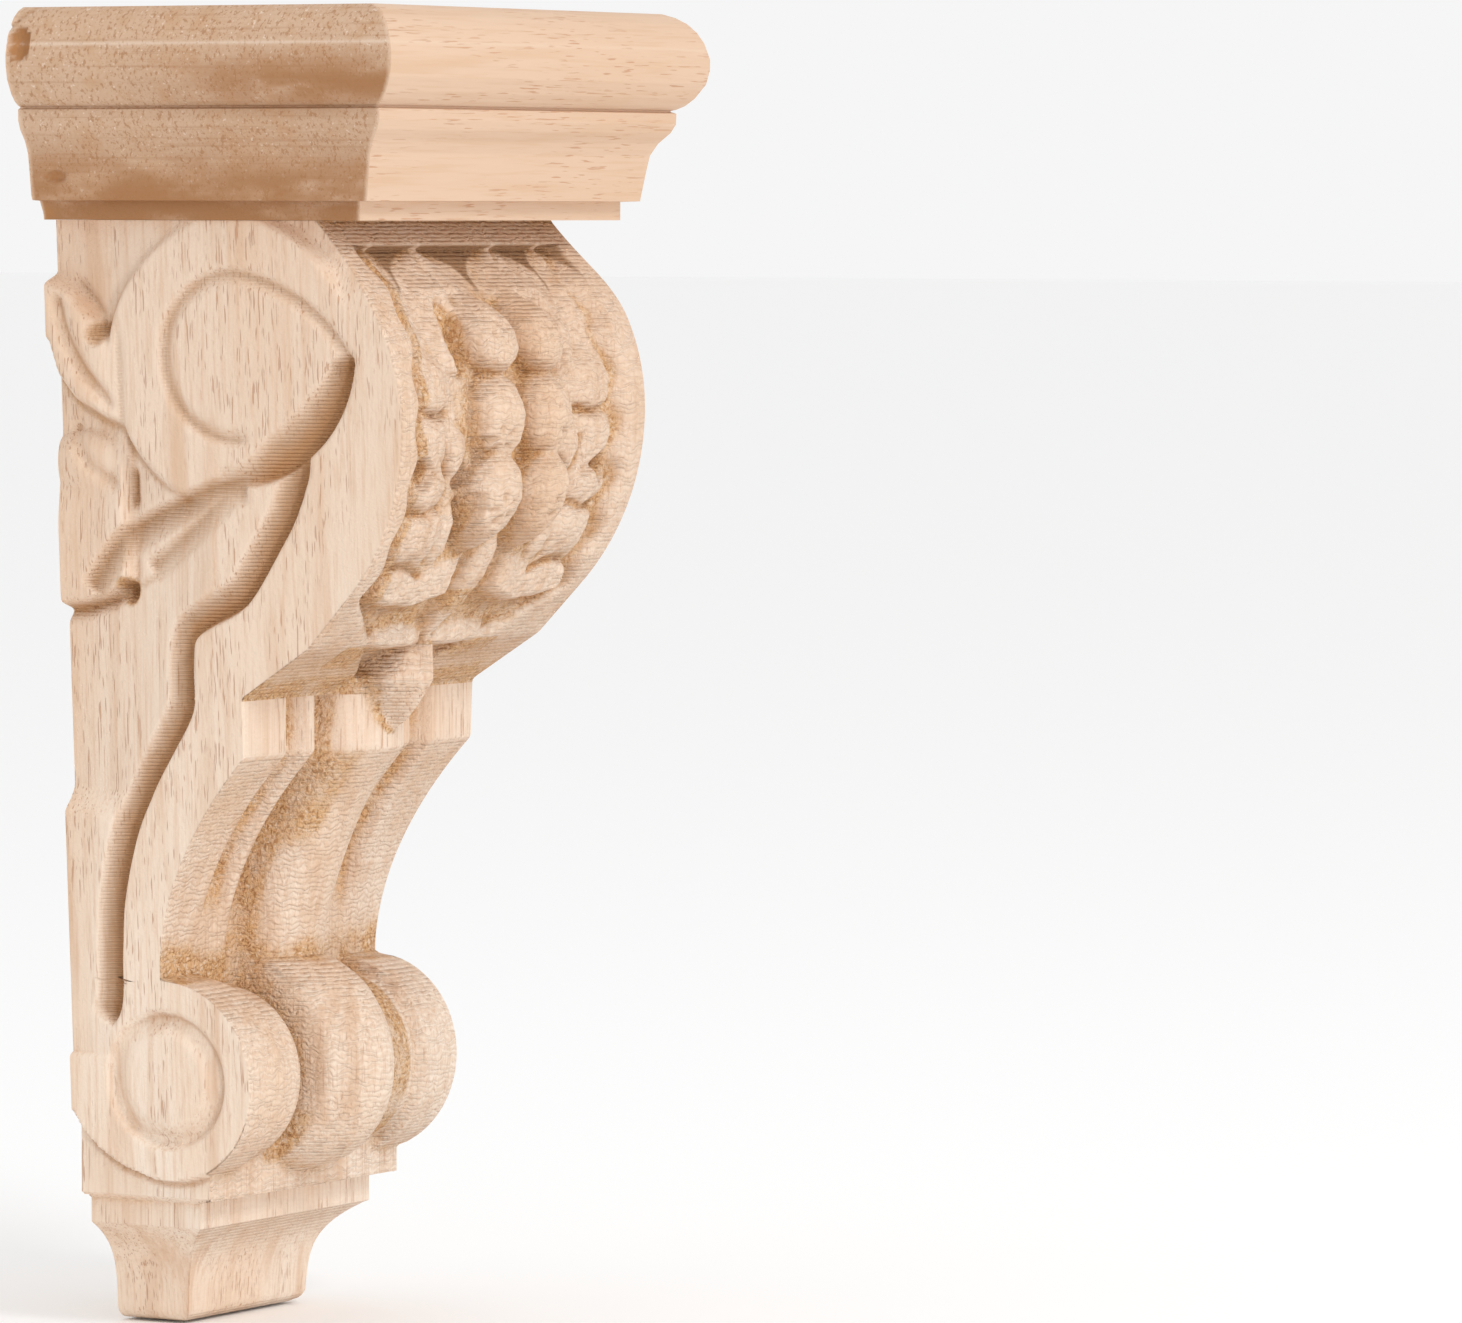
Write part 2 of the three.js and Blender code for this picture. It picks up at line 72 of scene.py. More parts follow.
# Body: width, and the plain front profile of belly, stem and small scroll
BODY_TOP = 201.8
BODY_TOP_HALF = 44.2
BODY_FOOT_HALF = 32.8
BELLY_DEPTH = 75.9
BELLY_HEIGHT = 166.0
UPPER_BELLY_RADIUS = 38.7
LOWER_BELLY_RADIUS = 45.2
NECK_DEPTH = 40.2
NECK_HEIGHT = 115.6
STEM_TOP = 105.5
WAIST_DEPTH = 20.4
RIB_HALF = 10.6
RIB_TOP = 119
RIB_FOOT_LIFT = 9.2
RIB_TOP_LIFT = 6.4
HOLLOW_MIDDLE = 21
HOLLOW_HALF = 3.8
HOLLOW_DEPTH = 4.2
FOLD_MIDDLE = 12
FOLD_HALF = 3.4
FOLD_DEPTH = 3.4
SCROLL_RADIUS = 18.4
SCROLL_DEPTH = 20.8
SCROLL_HEIGHT = 45.8
DRUM_INNER_EDGE = 13
DRUM_ROUND_WIDTH = 3.8
DRUM_ROUND_DROP = 4.2
DRUM_STEP_AT = 24
DRUM_STEP = 2.0
BOSS_RADIUS = 19.5
BOSS_DEPTH = 27.0
BOSS_HEIGHT = 47.0
BOSS_HALF = 10.8
BOSS_FACE_HALF = 8
BOSS_FACE_DROP = 6.4
BOSS_FOOT_DEPTH = 20
PIT_DEPTH = 20.5
PIT_FOOT = 28.4
BLOCK_SLANT = (4, 15.5)
BLOCK_HALF = 31.8
BLOCK_DEPTH = 28.2
BLOCK_FOOT = 23.8
BLOCK_TOP = 35.8
FILLET_HALF = 28.6
FILLET_DEPTH = 24.1
COVE_TOP = 18.4
COVE_FOOT = 1.3
COVE_REACH = 7.4
COVE_STEP = 0.3
SOLE_ROUND = 2.4

# Shares of the belly's radius up to which it is round and beyond which it is undercut, and how much
BELLY_ARC = 0.69
UNDERCUT_START = 0.9
UNDERCUT_SLOPE = 0.61

# Leaf that hangs over the neck, from its tip up to its widest place and its end
LEAF_TIP = 108.7
LEAF_GROWN = 9.5
LEAF_LENGTH = 17.5
LEAF_HALF = 7.0
LEAF_TIP_DEPTH = 48.4
LEAF_SWELL = 7.6
LEAF_FALL = 6.0

# Belly: two leaves on each side hang from the plain strip, as heights, inner edges, outer edges
# and rise, with a vein down the inner one
STRIP_FOOT = 197.2
TOP_LEAVES = [
    ((173, 175.3, 178, 181.7, 186, 190, 192, 193.6, 194.8, 196, 196.8),
     (18.4, 16.5, 14, 8, 1.2, 0.6, 1, 2.6, 5, 9, 12),
     (18.9, 21.7, 24.4, 26, 25.8, 25.2, 24.8, 23, 20.4, 17, 14), 5.0),
    ((175, 178, 181.7, 186, 192, 193.6, 194.8, 196, 196.8),
     (27, 26.6, 26.8, 26.4, 25.4, 25.6, 26, 27, 28),
     (35, 36.2, 36.4, 36, 35.2, 34.2, 33, 31.2, 29.8), 4.6),
]
LEAF_VEIN = [(14, 196), (12.6, 190), (13.4, 184), (18, 178)]

# Carved field of the belly: its edge as heights and half widths, and its ground under the bands
FIELD_EDGE = (
    (115, 118.2, 120, 125.2, 130, 134.4, 149, 172, 181, 192),
    (11, 11.6, 13, 20.3, 28, 34.6, 36.3, 36.5, 34.6, 34),
)
FIELD_DROP = 3.4
UPPER_DROP = 2.6
BAND_SLOPE = 3.2
DEEPEST_CARVING = 8
UNEVENNESS = 0.42

# Fruits, lobes and pits of the field, each with its place, half sizes and rise or depth
FRUITS = [((8, 181.2), (7, 7.6), 8.6), ((8, 166.6), (6.8, 8.8), 7.2), ((8.2, 151.6), (7, 9.6), 8.4)]
BLOSSOMS = [(8.8, 181.6), (10.6, 162.6), (9.6, 150)]
NICK_DEPTH = 1.3
LOBES = [
    ((28.4, 172.2), (8.6, 7.4), 5.6), ((28.6, 162.4), (8, 6.2), 5.0), ((27.6, 154), (7.2, 5.6), 5.2),
    ((25.6, 145), (8.6, 7.6), 5.2), ((19.6, 160.4), (3.8, 4.8), 3.6), ((17.4, 144.6), (3.8, 6.6), 3.6),
    ((0, 135), (4.8, 13), 4.4),
]
FIELD_PITS = [
    ((16.8, 181), (3.4, 7.6), 2.6), ((16.4, 156.4), (2, 2.8), 3.2), ((30.4, 156.6), (2.2, 3), 3.4),
    ((14.6, 148), (1.8, 5.4), 2.4),
]
CREASES = [
    [(34, 168.6), (28, 167), (22.4, 167.6)], [(34, 158), (30, 157.6), (24, 156)],
    [(34, 150.6), (28, 149.2), (22, 150.6)], [(33, 138.6), (26, 140), (19, 138)],
    [(23.6, 162.4), (21.6, 156.6), (20.6, 150)],
]
CREASE_DEPTH = 1.5
CREASE_WIDTH = 0.8

# Low leaves: places and heights of the lower edge, the rise there and how far up it runs out
LOW_LEAVES = [
    ((7, 8.9, 16.9, 24.8, 35), (135, 134, 132.3, 132.6, 134.6), 5.2, 10.0),
    ((1, 2.1, 11.1, 20), (125.4, 124, 124.2, 125), 5.0, 5.4),
]

# Side: the volute and its spiral groove, and the button of the small scroll, as (d, z) places
VOLUTE = (40.2, 177.4)
VOLUTE_RADIUS = 24.4
EYE_RADIUS = 15.0
EYE_LINE_WIDTH = 2.2
EYE_LINE_DEPTH = 1.1
SPIRAL_WIDTHS = (4.2, 7)
SPIRAL_DEPTHS = (4.4, 1.4)
TAIL_NARROWING = 0.45
WALL_FALL = 4.7
WALL_REACH = ((90, 100, 120, 140), (18, 21, 27, 34))
EDGE_FALL = 1.2
CORNER_FALL = 3.8
BLOCK_ARC = (19, 50)
BLOCK_ARC_RADIUS = 21.9
BUTTON = (20.6, 46.0)
BUTTON_RADIUS = 11.6
BUTTON_DEPTH = 2.2

# Angles in degrees, up from straight out, between which the spiral groove runs and changes
SPIRAL_SPAN = (-104, -94, 268, 286)
GROOVE_SWELLS = (3, -4)
GROOVE_WIDENS = (0, -35)
TAIL_NARROWS = (-60, -96)

# Grooves of the side, each with its line, the width of its slope, its depth and its wall's width.
# The steep wall is on the right of the line.
S_LINE = [
    (8.6, 55.6), (10.6, 60.3), (11.1, 69.5), (11.9, 78.6), (14.7, 89.7), (18.3, 98), (22.9, 105.4),
    (27.1, 111.9), (28.3, 115.5), (28.3, 122), (29.2, 127), (33, 129.6), (38.8, 132.4), (42.4, 135.7),
    (48, 143.9), (51.4, 149.4), (54.2, 156.6), (54.4, 160.5),
]
MIDRIB = [(42, 155.6), (35, 154.2), (28.1, 151.5), (17.2, 147), (11, 141.5), (6.4, 135.6)]
VEIN = [(39, 154.5), (33.4, 149.5), (24, 142.5), (19.5, 139.4)]
LEAF_LINE = [(17, 135.6), (25, 139.6), (31, 144)]
SIDE_GROOVES = [
    (S_LINE, 4.6, 3.8, 1.3), (MIDRIB, 5.0, 2.0, 1.6), (VEIN, 4.0, 1.4, 1.6), (LEAF_LINE, 1.2, 0.7, 0.7),
]

# Pits of the side and their rough ground, each with its place, half sizes and depth or roughness
SIDE_PITS = [((10.8, 181.4), (2.2, 2.6), 1.9), ((14.6, 134.8), (2.2, 2.6), 3.2)]
ROUGH_PITS = [((10.8, 181.4), (2.4, 2.8), 0.4), ((14.8, 134.8), (2.6, 3), 1)]

# Leaf of the side: edges as depths and heights, and creases, each with its line and depth
LEAF_FOOT = ((0, 5, 11, 15), (131, 131.6, 133.2, 136))
LEAF_CUT = ((0, 5, 11, 15), (130.8, 131.4, 133, 135.6))
LEAF_CUT_DEPTH = 1.6
LOW_LEAF_RISE = 2.6
LOBE_TOP = ((0, 5, 11, 14.5), (192.5, 190.6, 184.6, 178))
LOBE_FOOT = ((0, 2, 6, 12, 16.5), (178, 172, 167.4, 164.6, 163.6))
LOBE_RISES = (3.6, 4.6)
SMALL_LOBE = ((6, 157.6), (9, 6.4), 2.6)
LEAF_CREASES = [
    ([(2.5, 187), (4.2, 181), (8, 174.6), (13.6, 168.8)], 1.8),
    ([(5, 190), (8.6, 186.4), (10.8, 182)], 1.2),
    ([(3.5, 164), (7, 158), (13, 154.4)], 1.2),
]

# Meshes: distance between rings, steps along a side and along the front, and how close rings lie
# beside each sharp edge
LOWER_SPACING = 0.48
UPPER_SPACING = 0.42
CAP_SPACING = 0.45
LOWER_STEPS = (100, 190)
UPPER_STEPS = (140, 190)
CAP_STEPS = (80, 120)
SEAM = 0.0001
SHARP_EDGES = (COVE_TOP, BLOCK_FOOT, BLOCK_TOP)
BESIDE_EDGE = 0.05
EDGE_EASE = 0.22
END_INSET = 0.994
SHARP_ANGLE = 38

# Colours of the wood and of the shade painted in its grooves, creases and leaf pockets and under its cap,
# and how deep the fine relief of its surfaces is
PALE = (0.84, 0.71, 0.59, 1)
PEACH = (0.79, 0.6, 0.45, 1)
WARM = (0.62, 0.39, 0.24, 1)
PORE = (0.46, 0.2, 0.09, 1)
END = (0.42, 0.215, 0.09, 1)
STAIN = (0.34, 0.15, 0.05, 1)
FUZZ = (0.66, 0.36, 0.13, 1)
RUST = (0.4, 0.18, 0.06, 1)
# Brown of the painted shade down the side's grooves
GROOVE_SHADE = (0.49, 0.24, 0.09, 1)
# Dark brown of the painted shadow under the cap and of the painted shade in the leaf pockets
UNDER_CAP_SHADE = (0.28, 0.14, 0.06, 1)
FLOOR = (0.97, 0.97, 0.97, 1)
BODY_RELIEF = 0.28 * MM
CAP_RELIEF = 0.14 * MM

# Camera and studio: the camera's place in millimetres, and each light with its place and size in
# metres and its power in watts
LENS = 221.6
SENSOR_WIDTH = 36
CAMERA_PLACE = (-1391.19, -921.68, 205.19)
CAMERA_RIGHT = (0.500086, -0.865973, 0.001977)
CAMERA_UP = (0.043129, 0.027186, 0.998700)
LIGHTS = [("key", (-0.5, -1.4, 1.2), 0.5, 8), ("fill", (-1.0, -1.3, -0.04), 0.16, 4)]
WORLD_STRENGTH = 0.92
FLOOR_SIZE = 40
FLOOR_GAP = 0.0005


def smooth(low, high, value):
    """A soft rise from 0 at low to 1 at high."""
    t = np.clip((value - low) / (high - low), 0, 1)
    return t * t * (3 - 2 * t)


def within(value, start, full, waning, end):
    """1 between full and waning, falling softly to 0 at start and end."""
    return smooth(start, full, value) * smooth(end, waning, value)


def mix(a, b, t):
    """The value a share t of the way from a to b."""
    return a + (b - a) * t


def blend(a, b, soft):
    """The greater of two heights, rounded where they cross."""
    return (a + b + np.sqrt((a - b) ** 2 + soft ** 2) - soft) / 2


def near(distance, width):
    """A soft ridge: 1 at no distance, and little beyond the width."""
    return np.exp(-(distance / width) ** 2)


def roundness(u, z, at, half):
    """1 in the middle of an oval, and 0 from its edge outwards."""
    return np.maximum(1 - ((u - at[0]) / half[0]) ** 2 - ((z - at[1]) / half[1]) ** 2, 0)


def bump(u, z, at, half, rise):
    """Height of a rounded boss over its ground."""
    return rise * np.sqrt(roundness(u, z, at, half))


def curve(points, steps=6):
    """A smooth line through the points."""
    points = np.array([points[0], *points, points[-1]], float)
    t = np.linspace(0, 1, steps, endpoint=False)[:, None]
    made = []
    for a, b, c, e in zip(points, points[1:], points[2:], points[3:]):
        made.append(b + 0.5 * t * (c - a + t * (2 * a - 5 * b + 4 * c - e + t * (3 * (b - c) + e - a))))
    return np.vstack([*made, points[-1:]])


def near_line(d, z, points):
    """Distance to a line, positive on the left of its way, and the share of the way reached there."""
    line = curve(points)
    best, across, share = np.full(np.shape(d + z), 1e9), np.zeros(np.shape(d + z)), np.zeros(np.shape(d + z))
    for k, (a, b) in enumerate(zip(line, line[1:])):
        way = b - a
        t = np.clip(((d - a[0]) * way[0] + (z - a[1]) * way[1]) / (way @ way), 0, 1)
        off_d, off_z = d - a[0] - t * way[0], z - a[1] - t * way[1]
        far = np.hypot(off_d, off_z)
        closer = far < best
        best = np.where(closer, far, best)
        across = np.where(closer, far * np.sign(way[0] * off_z - way[1] * off_d), across)
        share = np.where(closer, (k + t) / (len(line) - 1), share)
    return across, share


def half_width(z):
    """Half width of the plain body, which widens upwards."""
    return mix(BODY_FOOT_HALF, BODY_TOP_HALF, z / BODY_TOP)


def drum(z, radius, depth, height=SCROLL_HEIGHT):
    """Depth of a round drum that lies across the front, and 0 above and below it."""
    square = radius ** 2 - (z - height) ** 2
    return np.where(square > 0, depth + np.sqrt(np.maximum(square, 0)), 0)


def belly_profile(z):
    """Depth of the plain belly: round in the middle, straight beyond, and undercut at its foot."""
    away = np.abs(z - BELLY_HEIGHT)
    radius = np.where(z > BELLY_HEIGHT, UPPER_BELLY_RADIUS, LOWER_BELLY_RADIUS)
    arc = BELLY_ARC * radius
    slope = arc / np.sqrt(radius ** 2 - arc ** 2)
    round_part = np.sqrt(radius ** 2 - np.minimum(away, arc) ** 2) - np.maximum(0, away - arc) * slope
    past_start = np.maximum(0, away - UNDERCUT_START * radius)
    undercut = np.where(z < BELLY_HEIGHT, UNDERCUT_SLOPE * past_start, 0)
    return np.maximum(BELLY_DEPTH - radius + round_part - undercut, NECK_DEPTH)


def stem_profile(z):
    """Depth of the plain stem, from the waist over the small scroll out to the neck."""
    waist = SCROLL_HEIGHT + SCROLL_RADIUS
    rise = np.clip((z - waist) / (STEM_TOP - waist), 0, 1)
    return WAIST_DEPTH + (NECK_DEPTH - WAIST_DEPTH) * rise ** 2


def rib_crown(u, lift):
    """Height of the stem's rounded middle rib over its ground."""
    return lift * np.sqrt(1 - np.clip(u / RIB_HALF, 0, 1) ** 2)


def uneven(u, z):
    """Slight unevenness of a hand-finished surface, from -1 to 1."""
    broad = np.sin(0.9 * u + 0.5 * z) * np.sin(0.7 * z - 0.45 * u + 1)
    fine = np.sin(1.9 * u - 1.1 * z + 2) * np.sin(1.4 * z + 0.6 * u)
    return (broad + fine) / 2


def leaf_growth(z):
    """How far the hanging leaf has grown from its tip to its widest place, from 0 to 1."""
    return np.clip((z - LEAF_TIP) / LEAF_GROWN, 0, 1) ** 0.82


def leaf_reach(z):
    """Half width of the hanging leaf, a pointed rhombus in outline."""
    narrowed = 0.7 * np.clip((z - LEAF_TIP - LEAF_GROWN) / (LEAF_LENGTH - LEAF_GROWN), 0, 1)
    return LEAF_HALF * leaf_growth(z) * (1 - narrowed)


def hanging_leaf(u, z):
    """Depth of the leaf that hangs in the middle over the top of the stem."""
    above = z - LEAF_TIP
    reach = leaf_reach(z) + 1e-6
    crest = LEAF_TIP_DEPTH + LEAF_SWELL * leaf_growth(z)
    face = crest - LEAF_FALL * (u / reach) ** 1.2 - 0.9 * near(u - 1.4, 0.7)
    return np.where((u < reach) & (above > 0) & (above < LEAF_LENGTH), face, 0)


def inside_field(u, z):
    """How far a place lies inside the uneven edge of the belly's carved field."""
    return np.interp(z, *FIELD_EDGE) - u + 0.7 * np.sin(0.62 * z)


def leaf_across(u, z, heights, inner, outer):
    """Where a place lies across a top leaf: under 1 inside it."""
    low, high = np.interp(z, heights, inner), np.interp(z, heights, outer)
    return (2 * u - low - high) / (high - low)


def top_leaves(u, z):
    """Height of the leaves that hang from the strip, pointed at the top, with a vein down the inner."""
    relief = 0 * (u + z)
    for heights, inner, outer, rise in TOP_LEAVES:
        across = np.clip(leaf_across(u, z, heights, inner, outer), -1, 1)
        inside = smooth(heights[0] - 0.5, heights[0] + 2, z) * (z < heights[-1])
        relief = np.maximum(relief, inside * rise * (1 - across ** 2) ** 0.42)
    vein = near(near_line(u, z, LEAF_VEIN)[0], 0.9)
    return relief - 0.9 * vein * (relief > 0.5)


def low_leaf(u, z, places, heights, rise, reach):
    """Height of a leaf that ends in a clear lower edge."""
    above = z - np.interp(u, places, heights)
    ends = within(u, places[0] - 0.5, places[0] + 2, places[-1] - 3, places[-1] + 0.5)
    return ends * rise * np.where(above > 0, np.clip(1 - above / reach, 0, 1) ** 0.7, 0)


def blossoms(u, z):
    """Depth of the crossed nicks at the ends of the fruits."""
    nicks = 0
    for at_u, at_z in BLOSSOMS:
        away = np.hypot(u - at_u, z - at_z)
        rays = smooth(0.3, 1, np.cos(5 * np.arctan2(z - at_z, u - at_u)))
        nicks = nicks + NICK_DEPTH * rays * within(away, 0.1, 0.7, 2.2, 3.4)
    return nicks


def field_relief(u, z, ground):
    """Height of the leaves, fruits and lobes of the belly's field over the plain belly."""
    floor = np.maximum(ground, -FIELD_DROP)
    leaves = top_leaves(u, z) * np.clip(-ground / FIELD_DROP, 0, 1.4)
    relief = ground + np.where(z < STRIP_FOOT, leaves, 0)
    for lobe in LOBES:
        relief = blend(relief, floor + bump(u, z, *lobe), 0.8)
    for leaf in LOW_LEAVES:
        relief = np.maximum(relief, ground + low_leaf(u, z, *leaf))
    for fruit in FRUITS:
        relief = blend(relief, floor + bump(u, z, *fruit), 0.5)
    for pit in FIELD_PITS:
        relief = relief - bump(u, z, *pit)
    for crease in CREASES:
        relief = relief - CREASE_DEPTH * near(near_line(u, z, crease)[0], CREASE_WIDTH)
    return relief - blossoms(u, z)


def belly_depth(u, z):
    """Depth of the belly, with its carved field between the plain bands."""
    plain = belly_profile(z)
    below_strip = smooth(STRIP_FOOT, STRIP_FOOT - 0.9, z)
    ground = -below_strip * (FIELD_DROP * smooth(112, 120, z) + UPPER_DROP * smooth(187, 192, z))
    relief = field_relief(u, z, ground) + UNEVENNESS * below_strip * uneven(u, z)
    inside = inside_field(u, z)
    slope = -BAND_SLOPE * smooth(-1.6, 3.2, inside) * below_strip * smooth(118, 136, z)
    field = mix(slope, relief, smooth(3.0, 4.2, inside))
    carved = np.maximum(plain + field, plain - DEEPEST_CARVING)
    rib = (NECK_DEPTH + rib_crown(u, RIB_TOP_LIFT)) * (z < RIB_TOP)
    return np.maximum.reduce([carved, hanging_leaf(u, z), rib])


def stem_depth(u, z):
    """Depth of the stem: its middle rib, and the fold and hollow beside it."""
    hollow = HOLLOW_DEPTH * np.clip(1 - ((u - HOLLOW_MIDDLE) / HOLLOW_HALF) ** 2, 0, 1) ** 0.8
    fold = FOLD_DEPTH * np.clip(1 - np.abs(u - FOLD_MIDDLE) / FOLD_HALF, 0, 1) ** 0.8
    lift = mix(RIB_FOOT_LIFT, RIB_TOP_LIFT, smooth(80, STEM_TOP, z))
    return stem_profile(z) + np.where(u < RIB_HALF, rib_crown(u, lift), -np.maximum(hollow, fold))


def scroll_depth(u, z):
    """Depth of the small scroll: two drums on each side and the rounded boss in the middle."""
    step = DRUM_STEP * smooth(DRUM_STEP_AT + 0.2, DRUM_STEP_AT - 0.2, u)
    to_edge = np.clip((DRUM_INNER_EDGE + DRUM_ROUND_WIDTH - u) / DRUM_ROUND_WIDTH, 0, 1)
    ease = DRUM_ROUND_DROP * (1 - np.sqrt(1 - to_edge ** 2))
    drums = np.where(u > DRUM_INNER_EDGE, drum(z, SCROLL_RADIUS - step - ease, SCROLL_DEPTH), 0)
    crown = drum(z, BOSS_RADIUS, BOSS_DEPTH, BOSS_HEIGHT) + 0 * u
    face = crown - BOSS_FACE_DROP * np.clip(u / BOSS_FACE_HALF, 0, 1) ** 2
    past_face = np.clip((u - BOSS_FACE_HALF) / (BOSS_HALF - BOSS_FACE_HALF), 0, 1)
    raised = mix(BOSS_FOOT_DEPTH, face, np.sqrt(1 - past_face ** 2))
    boss = np.where((crown > BOSS_DEPTH) & (u < BOSS_HALF), raised, 0)
    return drums, boss


def pit_floor(u, z):
    """Depth of the rough floor between boss and drums, which runs out over the block."""
    edge = np.interp(u, BLOCK_SLANT, (PIT_FOOT, BLOCK_TOP - 0.4))
    return mix(BLOCK_DEPTH, PIT_DEPTH, smooth(edge, edge + 8, z)) + 0 * u


def cove(z):
    """How far the cove under the fillet has drawn in, with the rounded edge at the underside."""
    t = np.clip((z - COVE_FOOT) / (COVE_TOP - COVE_FOOT), 0, 1)
    drawn = COVE_REACH * (1 - t ** 4) + (1 - t) + COVE_STEP
    below_round = np.clip((SOLE_ROUND - z) / SOLE_ROUND, 0, 1)
    ease = SOLE_ROUND * (1 - np.sqrt(1 - below_round ** 2))
    return np.where(z < COVE_TOP, drawn + ease, 0)


def front(u, z):
    """Depth of the carved front."""
    stem = np.where(z > SCROLL_HEIGHT, stem_depth(u, z), 0)
    drums, boss = scroll_depth(u, z)
    soft = 4.5 * smooth(11, 9.5, u) * smooth(56, 62, z)
    middle = blend(stem, boss, soft) + soft / 2
    block_edge = np.interp(u, BLOCK_SLANT, (PIT_FOOT, BLOCK_TOP))
    block = np.where((z < BLOCK_TOP) & (z < block_edge), BLOCK_DEPTH, 0)
    lower = np.maximum.reduce([middle, drums, block, pit_floor(u, z), hanging_leaf(u, z)])
    foot = FILLET_DEPTH - cove(z) + 0 * u
    return np.where(z < BLOCK_FOOT, foot, np.where(z < NECK_HEIGHT, lower, belly_depth(u, z)))


def sloped_cut(inside, width, wall, power):
    """Share of a groove's depth across it, from its steep wall down its slope."""
    slope = np.clip(1 - inside / width, 0, 1) ** power
    return np.where(inside > 0, slope, np.clip(1 + inside / wall, 0, 1))


def spiral_groove(d, z):
    """Depth of the line round the eye, which grows into the deep groove under the volute."""
    off_d, off_z = d - VOLUTE[0], z - VOLUTE[1]
    radius, turn = np.hypot(off_d, off_z), np.degrees(np.arctan2(off_z, off_d))
    deepest = 0 * radius
    for angle in (turn, turn + 360):
        grown = (VOLUTE_RADIUS - EYE_RADIUS) * np.clip(1 - angle / 75, 0, 1) ** 2
        outer = EYE_RADIUS + grown - 2 * np.clip(-angle / 50, 0, 1)
        swell, tail = smooth(*GROOVE_SWELLS, angle), smooth(*TAIL_NARROWS, angle)
        widened = mix(*SPIRAL_WIDTHS, smooth(*GROOVE_WIDENS, angle)) * mix(1, TAIL_NARROWING, tail)
        width = mix(EYE_LINE_WIDTH, widened, swell)
        deep = mix(EYE_LINE_DEPTH, mix(*SPIRAL_DEPTHS, tail), swell)
        cut = sloped_cut(outer - radius, width, 1.3, 0.9)
        deepest = np.maximum(deepest, deep * cut * within(angle, *SPIRAL_SPAN))
    return deepest


def ramped_groove(d, z, line, width, deep, wall):
    """Depth of a groove with a steep right wall and a sloping left one."""
    across, share = near_line(d, z, line)
    return deep * sloped_cut(across, width, wall, 0.8) * within(share, 0, 0.04, 0.985, 1)


def side_leaf(d, z):
    """Height of the leaf that runs from under the volute to the wall, over the fallen ground."""
    above = z - np.interp(d, *LEAF_FOOT)
    low = LOW_LEAF_RISE * within(above, 0, 1.6, 14, 34) * smooth(16.5, 14.5, d)
    under_top = smooth(0, 2.4, np.interp(d, *LOBE_TOP) - z)
    over_foot = smooth(0, 3, z - np.interp(d, *LOBE_FOOT))
    upper = mix(*LOBE_RISES, smooth(16, 4, d)) * (under_top * over_foot * smooth(16.8, 14.8, d))
    creases = 0
    for crease, deep in LEAF_CREASES:
        creases = np.maximum(creases, deep * near(near_line(d, z, crease)[0], 1.2))
    return np.maximum.reduce([low, upper, bump(d, z, *SMALL_LOBE)]) - creases


def side_cuts(d, z):
    """Depth of the grooves and pits of the side under its ground."""
    cuts = [spiral_groove(d, z)]
    cuts += [ramped_groove(d, z, *groove) for groove in SIDE_GROOVES]
    cuts += [deep * roundness(d, z, at, half) for at, half, deep in SIDE_PITS]
    line = 0.7 * near(d - 16 - 0.02 * (160 - z), 0.6) * within(z, 133, 137, 178, 186)
    slot = 1.2 * near(d - 16.6, 0.8) * within(z, 149, 151.5, 155.5, 158)
    foot = LEAF_CUT_DEPTH * near(z - np.interp(d, *LEAF_CUT), 1.3) * smooth(16, 14, d)
    return np.maximum.reduce([*cuts, line + slot, foot])


def button_dish(d, z):
    """Depth of the dish round the button of the small scroll: steep at its lower right."""
    radius = np.hypot(d - BUTTON[0], z - BUTTON[1])
    away = np.arctan2(z - BUTTON[1], d - BUTTON[0])
    wall = mix(0.35, 1, (0.5 + 0.5 * np.cos(away + math.radians(50))) ** 0.7)
    wall = np.maximum(wall, 0.8 * (0.5 + 0.5 * np.cos(away - math.radians(80))) ** 2)
    ring = within(radius, BUTTON_RADIUS - 4, BUTTON_RADIUS, BUTTON_RADIUS, BUTTON_RADIUS + 1.4)
    return BUTTON_DEPTH * wall * ring


def side(d, z):
    """Half width of the carved side at a depth."""
    radius = np.hypot(d - VOLUTE[0], z - VOLUTE[1])
    low_left = smooth(-0.2, 0.9, -(d - VOLUTE[0] + z - VOLUTE[1]) / (radius + 1e-6) / 1.42)
    outside = smooth(0, 2.0, radius - VOLUTE_RADIUS - 2.4 * low_left)
    reach = np.interp(z, *WALL_REACH)
    fall = WALL_FALL * np.clip(1 - d / reach, 0, 1) ** 0.8 * smooth(92, 99.5, z)
    edge = EDGE_FALL * np.clip(1 - d / 10, 0, 1) * smooth(99, 93, z) * (z > BLOCK_ARC[1])
    corner = CORNER_FALL * smooth(184, 201, z) * smooth(44, 54, d)
    sunk = outside * np.maximum.reduce([fall, edge, corner]) - outside * side_leaf(d, z)
    carved = half_width(z) - sunk - side_cuts(d, z) - button_dish(d, z)
    on_disc = np.hypot(d - SCROLL_DEPTH, z - SCROLL_HEIGHT) < SCROLL_RADIUS
    on_arc = np.hypot(d - BLOCK_ARC[0], z - BLOCK_ARC[1]) < BLOCK_ARC_RADIUS
    carved = np.where(on_disc | on_arc | (z > BLOCK_ARC[1]), carved, BLOCK_HALF)
    return np.where(z < BLOCK_FOOT, FILLET_HALF - cove(z), carved)


def softened(grid, axes=(0, 1)):
    """The grid with each point eased towards its neighbours."""
    for axis in axes:
        low = np.concatenate([grid.take([0], axis), grid.take(range(grid.shape[axis] - 1), axis)], axis)
        high = np.concatenate([grid.take(range(1, grid.shape[axis]), axis), grid.take([-1], axis)], axis)
        grid = (low + 2 * grid + high) / 4
    return grid


